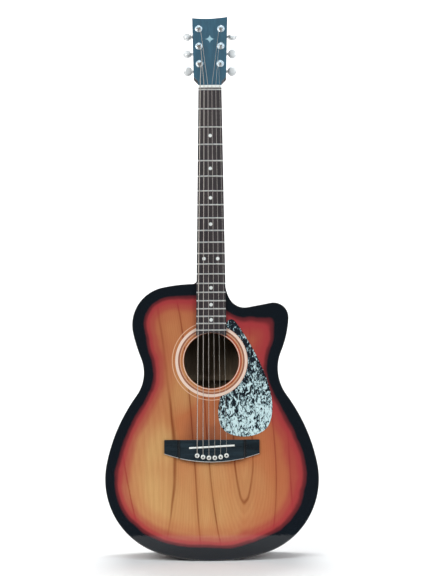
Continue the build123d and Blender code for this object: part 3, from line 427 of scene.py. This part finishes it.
CARRIED = {
    "linings": "bare", "neck_block": "bare", "tail_block": "bare_across", "x_braces": "bare",
    "soundboard_braces": "bare_across", "bridge_plate": "bare_across", "back_braces": "inside",
    "back_strip": "inside", "side_bass": "sides", "side_treble": "sides", "bindings": "binding",
    "rosette": "rosette", "pickguard": "pickguard", "bridge": "bridge", "saddle": "bone",
    "neck": "neck", "head_veneer": "head", "head_inlay": "head_pearl",
    "fretboard": "rosewood", "frets": "frets", "position_dots": "pearl", "nut": "bone",
    "truss_rod": "steel", "truss_rod_nut": "steel", "plain_strings": "plain", "wound_strings": "wound",
    "ball_ends": "brass", "tuner_housings": "chrome", "tuner_bushings": "chrome", "tuner_screws": "chrome",
}
for number in range(1, 7):
    CARRIED[f"bridge_pin_{number}"] = "pins"
    for part, finish in (("post", "chrome"), ("worm", "chrome"), ("button", "buttons")):
        CARRIED[f"tuner_{part}_{number}"] = finish


def dress(obj, finish):
    obj.data.materials.clear()
    obj.data.materials.append(FINISHES[finish])


for node, finish in CARRIED.items():
    dress(NODES[node], finish)


# ---- pieces ------------------------------------------------------------------------------------
def new_piece(name, mesh, finish, body, replaced=()):
    piece = bpy.data.objects.new(name, mesh)
    bpy.context.scene.collection.objects.link(piece)
    dress(piece, finish)
    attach(piece, body)
    if replaced:
        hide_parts(*replaced)
    return piece


def line_with(piece, finish, chosen):
    """Give the chosen faces of a piece a second finish."""
    piece.data.materials.append(FINISHES[finish])
    for polygon in piece.data.polygons:
        if chosen(polygon):
            polygon.material_index = 1


def smooth(mesh, sharp_degrees=32.0):
    mesh.polygons.foreach_set("use_smooth", [True] * len(mesh.polygons))
    mesh.set_sharp_from_angle(angle=radians(sharp_degrees))


def segment_distance(points, starts, ends):
    """Distance of each point to the nearest of many segments, all in a plane."""
    along = ends - starts
    length = np.maximum((along ** 2).sum(1), 1e-12)
    nearest = np.full(len(points), 1e9)
    for first in range(0, len(points), CHUNK):
        chunk = points[first:first + CHUNK, None, :] - starts[None]
        share = np.clip((chunk * along).sum(2) / length, 0, 1)
        gap = chunk - share[..., None] * along
        nearest[first:first + CHUNK] = np.sqrt((gap ** 2).sum(2).min(1))
    return nearest


def inside(points, starts, ends):
    """Whether each point lies inside the closed loops, by counting crossings."""
    hit = np.zeros(len(points), int)
    for (x0, z0), (x1, z1) in zip(starts, ends):
        if z0 == z1:
            continue
        crosses = (points[:, 1] < max(z0, z1)) & (points[:, 1] >= min(z0, z1))
        at = x0 + (points[:, 1] - z0) * (x1 - x0) / (z1 - z0)
        hit += crosses & (points[:, 0] < at)
    return hit % 2 == 1


def refined_plate(node, chosen, depth_at, facing, pitch):
    """A CAD plate whose broad face is meshed again, evenly and finely enough to carry paint.

    chosen picks the broad face's triangles, depth_at gives its y in mm at (x, z) in mm, and facing is
    the sign of its normal along Y. Returns the mesh, its vertices in mm and each one's distance in mm
    from the plate's outer edge.
    """
    shape = bmesh.new()
    shape.from_mesh(NODES[node].data)
    bmesh.ops.remove_doubles(shape, verts=shape.verts, dist=2e-6)
    broad = set(face for face in shape.faces if chosen(face))
    rim = [edge for edge in shape.edges if sum(face in broad for face in edge.link_faces) == 1]
    rim_verts = list(dict.fromkeys(vert for edge in rim for vert in edge.verts))
    index = {vert: number for number, vert in enumerate(rim_verts)}
    flat = np.array([(vert.co.x, vert.co.z) for vert in rim_verts]) / MM
    pairs = [(index[edge.verts[0]], index[edge.verts[1]]) for edge in rim]
    starts, ends = (flat[[pair[side] for pair in pairs]] for side in (0, 1))
    low, high = flat.min(0), flat.max(0)
    rows = np.arange(low[1], high[1], pitch * sqrt(3) / 2)
    grid = np.array([(x + (pitch / 2 if row % 2 else 0), z)
                     for row, z in enumerate(rows) for x in np.arange(low[0], high[0], pitch)])
    grid = grid[inside(grid, starts, ends)]
    grid = grid[segment_distance(grid, starts, ends) > 0.55 * pitch]
    bmesh.ops.delete(shape, geom=list(broad), context="FACES_ONLY")
    for edge in [edge for edge in shape.edges if not edge.link_faces and edge not in set(rim)]:
        shape.edges.remove(edge)
    for vert in [vert for vert in shape.verts if not vert.link_edges]:
        shape.verts.remove(vert)
    points = [Vector(point) for point in np.vstack([flat, grid])]
    found, _, triangles, origins, _, _ = delaunay_2d_cdt(points, pairs, [], 0, 1e-6)
    made = []
    for place, origin in zip(found, origins):
        if origin and origin[0] < len(rim_verts):
            made.append(rim_verts[origin[0]])
        else:
            made.append(shape.verts.new((place.x * MM, depth_at(place.x, place.y) * MM, place.y * MM)))
    centres = np.array([sum((found[i] for i in t), Vector((0, 0))) / 3 for t in triangles])
    for triangle, keep in zip(triangles, inside(centres, starts, ends)):
        if keep:
            corners = [made[i] for i in triangle]
            if facing > 0:
                corners.reverse()
            try:
                shape.faces.new(corners)
            except ValueError:
                pass
    bmesh.ops.recalc_face_normals(shape, faces=shape.faces)
    mesh = bpy.data.meshes.new(node + "_fine")
    shape.to_mesh(mesh)
    shape.free()
    if "custom_normal" in mesh.attributes:
        mesh.attributes.remove(mesh.attributes["custom_normal"])
    smooth(mesh)
    places = np.zeros(len(mesh.vertices) * 3, np.float32)
    mesh.vertices.foreach_get("co", places)
    places = places.reshape(-1, 3) / MM
    outer = outer_loop(pairs, flat)
    edge = segment_distance(places[:, [0, 2]], flat[outer[:, 0]], flat[outer[:, 1]])
    return mesh, places, edge


def outer_loop(pairs, flat):
    """The pairs that belong to the loop with the lowest point, the plate's outside."""
    following = {}
    for a, b in pairs:
        following.setdefault(a, []).append(b)
        following.setdefault(b, []).append(a)
    start = int(flat[:, 1].argmin())
    loop, before, here = [], None, start
    while True:
        onward = [n for n in following[here] if n != before][0]
        loop.append((here, onward))
        before, here = here, onward
        if here == start:
            return np.array(loop)


def blend_places(places, known):
    """Smooth values at each (x, s) from a few known places (x, s, value, ...)."""
    known = np.array(known, float)
    gap = ((places[:, None, :] - known[None, :, :2]) ** 2).sum(2) + 25.0
    weight = gap ** -1.5
    return (weight @ known[:, 2:]).T / weight.sum(1)


def store(mesh, name, values):
    mesh.attributes.new(name, "FLOAT", "POINT").data.foreach_set("value", np.asarray(values, np.float32))


# Width of the black band along the rim and how softly it fades, depth of the amber stain (values above 1
# paint shade between the rosette and the bridge, darkest just above the bridge), share of red wash, and the
# veins of the top's figure, all at (x, s), where s is the height above the saddle line.
BANDS = [(-190, -40, 20.0, 1.7), (190, -40, 23.5, 2.7), (0, -202, 24.5, 1.3), (-110, -165, 22.0, 1.4),
         (110, -165, 26.5, 1.5), (-175, -110, 21.0, 1.5), (170, -115, 26.0, 2.1), (-118, 130, 20.0, 1.3),
         (114, 130, 21.5, 2.0), (-148, 220, 24.0, 1.5), (-80, 285, 22.8, 1.8), (120, 240, 27.5, 2.6),
         (60, 232, 21.0, 2.6)]
STAIN_AND_SHADE_DEPTHS = [(-95, 0, 0.05), (-110, -90, 0.0), (0, -130, 0.3), (60, -60, 0.5), (120, -40, 0.95),
                (0, 50, 1.3), (10, 18, 2.2), (-20, 20, 1.6), (35, 14, 1.6), (0, -45, 0.3), (-50, 90, 0.45),
                (-85, 200, 0.8), (90, 200, 1.0), (130, 40, 1.0)]
RED_WASHES = [(112, 218, 0.9), (82, 198, 0.4), (60, 225, 0.85), (100, 150, 0.8), (118, 80, 0.35),
              (-50, 275, 0.75), (-90, 270, 0.5), (-110, 235, 0.25), (-85, 200, 0.1), (-60, 235, 0.12),
              (-100, 100, 0.0), (-60, 120, 0.0), (0, 60, 0.15), (-90, 0, 0.0), (60, 0, 0.05),
              (130, 30, 0.2), (0, -100, 0.0), (-100, -100, 0.0), (110, -80, 0.1), (0, -160, 0.1)]
VEINS = [[(-168, 80), (-154, -35), (-148, -69), (-132, -137)],
         [(-93, 255), (-74, 120), (-62, -30), (-76, -156)],
         [(-61, 264), (-39, 100), (-29, -35), (-18, -171)],
         [(-18, 190), (-10, 60), (-1, -60), (16, -171)]]
FAR_VEINS = [[(100, 190), (108, 40), (113, -69), (104, -154)],
             [(124, 190), (134, 40), (137, -35), (142, -120)]]
CATHEDRAL_X, CATHEDRAL_S = 57.0, -95.0


def vein_at(points, s):
    """x of a vein at heights s, on the cubic through its four points."""
    xs, heights = zip(*points)
    return np.polyval(np.polyfit(np.array(heights) / 100, xs, 3), np.clip(s, -205, 290) / 100)


def ring_figure(x, s):
    """Growth-ring number at (x, s): whole numbers fall on the veins, highest in the cathedral."""
    left = [vein_at(points, s) for points in VEINS]
    right = [vein_at(points, s) for points in FAR_VEINS]
    peak = np.where(s > CATHEDRAL_S, 1 + 0.16 * np.clip((s - CATHEDRAL_S) / 60, 0, 1) ** 0.8,
                    1 - np.clip((CATHEDRAL_S - s) / 160, 0, 0.7))
    ring = 1 + (x - left[0]) / 32
    for number in range(3):
        share = (x - left[number]) / (left[number + 1] - left[number])
        ring = np.where(x > left[number], number + 1 + share, ring)
    to_left = (x - CATHEDRAL_X) / (left[3] - CATHEDRAL_X)
    to_right = (x - CATHEDRAL_X) / (right[0] - CATHEDRAL_X)
    across = np.clip(np.maximum(to_left, to_right), 0, 1)
    ring = np.where(x > left[3], 4 + peak * (1 - across ** 1.35), ring)
    share = (x - right[0]) / (right[1] - right[0])
    return np.where(x > right[0], 4 - share, ring)


def evened(mesh, places, values, rounds=20):
    """Values averaged with their neighbours' along the mesh, so that paint runs round corners."""
    ends = np.zeros(len(mesh.edges) * 2, np.int32)
    mesh.edges.foreach_get("vertices", ends)
    ends = ends.reshape(-1, 2)
    reach = places[ends[:, 0]] - places[ends[:, 1]]
    ends = ends[(reach ** 2).sum(1) < EVEN_REACH ** 2]
    first, second = ends.T
    count = np.bincount(ends.ravel(), minlength=len(values))
    for _ in range(rounds):
        total = np.bincount(first, values[second], len(values))
        total += np.bincount(second, values[first], len(values))
        values = 0.5 * values + 0.5 * total / np.maximum(count, 1)
    return values


def paint_plate(mesh, places, edge, figure):
    """Store the burst, the depth of amber with its painted shade, and the figure that the lacquer material
    reads.
    """
    level = places[:, [0, 2]] + (0, SCALE_LENGTH)
    band, softness = blend_places(level, BANDS)
    burst = edge + BINDING_W - band
    store(mesh, "burst", evened(mesh, places, np.where(burst > 0, burst / softness, burst)))
    stain_and_shade = blend_places(level, STAIN_AND_SHADE_DEPTHS)[0]
    store(mesh, "tint", stain_and_shade if figure else np.minimum(stain_and_shade, 1.0))
    store(mesh, "wash", blend_places(level, RED_WASHES)[0] if figure else np.zeros(len(level)))
    if figure:
        x, s = level[:, 0], level[:, 1]
        ring = ring_figure(x, s)
        slope = np.hypot(ring_figure(x + 0.5, s) - ring_figure(x - 0.5, s),
                         ring_figure(x, s + 0.5) - ring_figure(x, s - 0.5))
        store(mesh, "ring", ring)
        store(mesh, "gap", np.minimum(1 / np.maximum(slope, 1e-3), 60.0))


def back_depth(x, z):
    reach = BACK_RADIUS ** 2 - x ** 2 - (z - BACK_CENTRE.z) ** 2
    return BACK_CENTRE.y + sqrt(reach)


def is_front_face(face):
    return face.normal.y < -0.99 and abs(face.calc_center_median().y) < 1e-5


def is_back_face(face):
    centre = face.calc_center_median() / MM
    return face.normal.y > 0.9 and (centre - BACK_CENTRE).length > BACK_RADIUS - 0.6


mesh, places, edge = refined_plate("soundboard", is_front_face, lambda x, z: 0.0, -1, 3.0)
paint_plate(mesh, places, edge, True)
board = new_piece("soundboard_top", mesh, "top", "guitar", ["soundboard"])
line_with(board, "bare", lambda polygon: polygon.normal.y > 0.5)

mesh, places, edge = refined_plate("back_plate", is_back_face, back_depth, 1, 4.0)
paint_plate(mesh, places, edge, False)
panel = new_piece("back_panel", mesh, "back", "guitar", ["back_plate"])
line_with(panel, "inside", lambda polygon: polygon.normal.y < -0.5)


def is_outer_corner(edge):
    """Whether an edge of the bindings is on the outside of the body, front or back."""
    faces = [face.normal for face in edge.link_faces]
    middle = (edge.verts[0].co + edge.verts[1].co) / 2 / MM
    shown = middle.y < 0.1 or (middle - BACK_CENTRE).length > BACK_RADIUS - 0.2
    outward = max(faces, key=lambda normal: Vector((normal.x, normal.z)).length)
    from_centre = Vector((middle.x, middle.z - BODY_MIDDLE_Z))
    return shown and Vector((outward.x, outward.z)).dot(from_centre) > 0


def is_wing_rim(edge):
    """Whether an edge is on the upper outline of one of the bridge's wings."""
    middle = (edge.verts[0].co + edge.verts[1].co) / 2 / MM
    return middle.y < -2.0 and abs(middle.x) > SLOPE_X + 2


def is_head_side(polygon):
    """Whether a face of the neck is on the edge of the head."""
    above = polygon.center / MM - HEAD_ORIGIN
    return above.dot(HEAD_UP) > 4.0 and abs(polygon.normal.dot(HEAD_OUT)) < 0.6 and abs(above.x) > 20.0 \
        or above.dot(HEAD_UP) > 140.0 and polygon.normal.dot(HEAD_OUT) > -0.6


def rounded(node, width, finish, corner_degrees=40.0, segments=3, chosen=None, clamped=True):
    """A CAD piece shown with its sharp edges rounded."""
    shape = bmesh.new()
    shape.from_mesh(NODES[node].data)
    bmesh.ops.remove_doubles(shape, verts=shape.verts, dist=2e-6)
    bmesh.ops.dissolve_limit(shape, angle_limit=radians(0.4), verts=shape.verts, edges=shape.edges)
    sharp = [edge for edge in shape.edges
             if edge.is_manifold and edge.calc_face_angle(0.0) > radians(corner_degrees)
             and (chosen is None or chosen(edge))]
    bmesh.ops.bevel(shape, geom=sharp, offset=width * MM, segments=segments, profile=0.5,
                    affect="EDGES", clamp_overlap=clamped)
    mesh = bpy.data.meshes.new(node + "_rounded")
    shape.to_mesh(mesh)
    shape.free()
    if "custom_normal" in mesh.attributes:
        mesh.attributes.remove(mesh.attributes["custom_normal"])
    smooth(mesh, 40.0)
    piece = new_piece(node + "_shown", mesh, finish, NODES[node]["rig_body"], [node])
    piece.modifiers.new("flat_faces_stay_flat", "WEIGHTED_NORMAL").keep_sharp = True
    return piece


def closed_rings(name, rings):
    """A mesh that joins rings of points in mm one after another, with both ends closed."""
    shape = bmesh.new()
    made = [[shape.verts.new(point * MM) for point in ring] for ring in rings]
    sides = len(made[0])
    for ring, following in zip(made, made[1:]):
        for k in range(sides):
            shape.faces.new((ring[k], ring[(k + 1) % sides], following[(k + 1) % sides], following[k]))
    shape.faces.new(made[0])
    shape.faces.new(made[-1])
    bmesh.ops.recalc_face_normals(shape, faces=shape.faces)
    mesh = bpy.data.meshes.new(name)
    shape.to_mesh(mesh)
    shape.free()
    smooth(mesh)
    return mesh


def tube(path, radius, sides=10):
    """A round wire along a path of points in mm, closed at both ends."""
    turns = [2 * pi * k / sides for k in range(sides)]
    rings = []
    for index, point in enumerate(path):
        ahead = path[min(index + 1, len(path) - 1)] - path[max(index - 1, 0)]
        leaning = HEAD_OUT if abs(ahead.normalized().dot(HEAD_OUT)) < 0.9 else HEAD_UP
        across = ahead.cross(leaning).normalized()
        above = across.cross(ahead).normalized()
        rings.append([point + radius * (across * cos(turn) + above * sin(turn)) for turn in turns])
    return closed_rings("tube", rings)


def post_winding(index):
    """Path of a string round its post, from where it arrives down to its end."""
    post_x, height = POST_PLACES[index]
    side = 1 if post_x > 0 else -1
    radius = STRING_DIAMETERS[index] / 2
    turns = min(3.0, 0.9 / radius) + 0.25
    centre = HEAD_ORIGIN + Vector((post_x, 0, 0)) + HEAD_UP * height
    path = []
    for step in range(int(turns * 28) + 1):
        turn = step / 28
        level = WRAP_N - 2.06 * radius * max(turn - 0.25, 0.0)
        flare = min(max((POST_WAIST_LOW - (level - radius)) / 0.8, 0.0), 1.0)
        wound = POST_WAIST_R + (POST_R - POST_WAIST_R) * flare + radius + 0.04
        reach = wound + (STRING_TO_POST - wound) * max(1 - 4 * turn, 0.0)
        angle = 2 * pi * turn
        path.append(centre + Vector((-side * reach * cos(angle), 0, 0)) + HEAD_UP * (reach * sin(angle))
                    + HEAD_OUT * level)
    return path


def pin_dot(index):
    """Dark disc let into the crown of a bridge pin."""
    from_middle = abs(index - 2.5) / 2.5
    centre = Vector(((2.5 - index) * PIN_PITCH, 0, PIN_ROW_Z + PIN_ROW_RISE * from_middle ** 2))
    crown = PIN_DOME_TOP - PIN_DOME_RIM
    ball = (PIN_HEAD_R ** 2 + crown ** 2) / (2 * crown)
    profile = [(r, PIN_DOME_TOP - ball + sqrt(ball ** 2 - r ** 2) + 0.05) for r in (0.5, 0.9, 1.3, 1.55)]
    profile.append((1.6, profile[-1][1] - 0.25))
    turns = [2 * pi * k / 24 for k in range(24)]
    rings = [[centre + Vector((r * cos(turn), -level, r * sin(turn))) for turn in turns]
             for r, level in profile]
    return closed_rings("pin_dot", rings)


for index in range(6):
    kind, slot = ("plain", "string_steel") if index < 2 else ("wound", "string_bronze")
    radius, post = STRING_DIAMETERS[index] / 2, f"post_{index + 1}"
    new_piece(f"winding_{index + 1}", tube(post_winding(index), radius), kind, post)
    post_x, height = POST_PLACES[index]
    middle = HEAD_ORIGIN + Vector((post_x, 0, 0)) + HEAD_UP * height + HEAD_OUT * POST_HOLE_N
    tail = [middle + HEAD_UP * reach for reach in (1.0, 3.0, POST_WAIST_R + 2.6)]
    new_piece(f"tail_{index + 1}", tube(tail, radius), kind, post)
    new_piece(f"pin_dot_{index + 1}", pin_dot(index), "pin_dots", f"pin_{index + 1}")

rounded("bindings", 1.2, "binding", chosen=is_outer_corner)
rounded("pickguard", 0.35, "pickguard")
rounded("head_veneer", 0.5, "head")
block = rounded("bridge", 0.9, "bridge", chosen=is_wing_rim, clamped=False)
# The bridge's faces that look down and forward get the whitish painted highlight.
line_with(block, "bridge_painted_glint", lambda polygon: polygon.normal.z < -0.2 and polygon.normal.y < -0.2)
stock = rounded("neck", 0.6, "neck")
line_with(stock, "head_edge", is_head_side)
rounded("fretboard", 0.3, "rosewood")
rounded("nut", 0.35, "bone")
rounded("saddle", 0.4, "bone")


# ---- floor, light and camera ---------------------------------------------------------------------
def sweep_of_paper(name, profile, level, finish):
    """A wide sheet of studio paper along a profile of (y, height above the floor)."""
    shape = bmesh.new()
    rows = [[shape.verts.new((x, y, level + z)) for y, z in profile] for x in (-PAPER_HALF_W, PAPER_HALF_W)]
    for a, b, c, d in zip(rows[0], rows[1], rows[1][1:], rows[0][1:]):
        shape.faces.new((a, b, c, d))
    mesh = bpy.data.meshes.new(name)
    shape.to_mesh(mesh)
    shape.free()
    smooth(mesh)
    sheet = bpy.data.objects.new(name, mesh)
    bpy.context.scene.collection.objects.link(sheet)
    sheet.data.materials.append(finish.material)
    return sheet


def floor_and_backdrop(level):
    """Pale floor that curves up into a backdrop. Its front part shows in no gloss and lights nothing."""
    finish = Finish("studio_paper", Roughness=0.8, Specular_IOR_Level=0.2)
    cloud = finish.noise(finish.place, 1.5, 2.0)
    finish.set("Base Color", finish.mix(cloud, (0.90, 0.90, 0.90, 1.0), (0.94, 0.94, 0.94, 1.0)))
    profile = [(FLOOR_FRONT, 0.0), (FLOOR_BEND_Y, 0.0)]
    for step in range(1, 13):
        angle = radians(90 * step / 12)
        profile.append((FLOOR_BEND_Y + FLOOR_BEND_R * sin(angle), FLOOR_BEND_R * (1 - cos(angle))))
    profile.append((FLOOR_BEND_Y + FLOOR_BEND_R, PAPER_TOP))
    sweep_of_paper("studio", profile, level, finish)
    front = sweep_of_paper("studio_front", [(FLOOR_NEAR, 0.0), (FLOOR_FRONT, 0.0)], level, finish)
    front.visible_glossy = False
    front.visible_diffuse = False


def softbox(name, place, target, width, height, watts, colour=(1.0, 1.0, 1.0)):
    light = bpy.data.lights.new(name, "AREA")
    light.shape = "RECTANGLE"
    light.size, light.size_y = width, height
    light.energy = watts
    light.color = colour
    lamp = bpy.data.objects.new(name, light)
    lamp.location = place
    lamp.rotation_euler = (Vector(target) - Vector(place)).to_track_quat("-Z", "Y").to_euler()
    bpy.context.scene.collection.objects.link(lamp)


def dim_room(brightness):
    world = bpy.data.worlds.new("room")
    world.use_nodes = True
    world.node_tree.nodes["Background"].inputs["Color"].default_value = (0.92, 0.96, 1.0, 1.0)
    world.node_tree.nodes["Background"].inputs["Strength"].default_value = brightness
    bpy.context.scene.world = world


def photo_camera():
    """Below the middle of the body and looking a little upward."""
    tilt, roll = radians(5.78), radians(0.34)
    data = bpy.data.cameras.new("camera")
    data.lens, data.sensor_width = 58.7, 36.0
    camera = bpy.data.objects.new("camera", data)
    away = Vector((0, -cos(tilt), -sin(tilt)))
    up = Vector((0, -sin(tilt), cos(tilt)))
    right = Vector((1, 0, 0))
    turned_up = up * cos(roll) + right * sin(roll)
    turned_right = right * cos(roll) - up * sin(roll)
    basis = Matrix((turned_right, turned_up, away)).transposed()
    camera.matrix_world = Matrix.Translation((0.00996, -1.6964, -0.5401)) @ basis.to_4x4()
    bpy.context.scene.collection.objects.link(camera)
    bpy.context.scene.camera = camera


floor_and_backdrop(cad_low.z)
softbox("key", (-1.9, -2.3, 1.1), (0, 0, -0.4), 1.8, 1.8, 80.0, (1.0, 0.99, 0.97))
softbox("fill", (2.2, -2.0, 0.6), (0, 0, -0.4), 1.6, 1.6, 52.0, (0.95, 0.98, 1.0))
softbox("sky", (0.0, -2.0, 2.4), (0, 0, 0.1), 2.2, 1.2, 12.0, (0.55, 0.82, 1.0))
softbox("overhead", (0.0, 1.1, 2.4), (0, 0.9, -0.8), 3.6, 1.6, 40.0)
softbox("backdrop_light", (0.0, 1.6, 2.6), (0, 3.4, 0.2), 3.0, 1.0, 120.0)
dim_room(0.12)
photo_camera()
bpy.context.scene.view_settings.view_transform = "Standard"
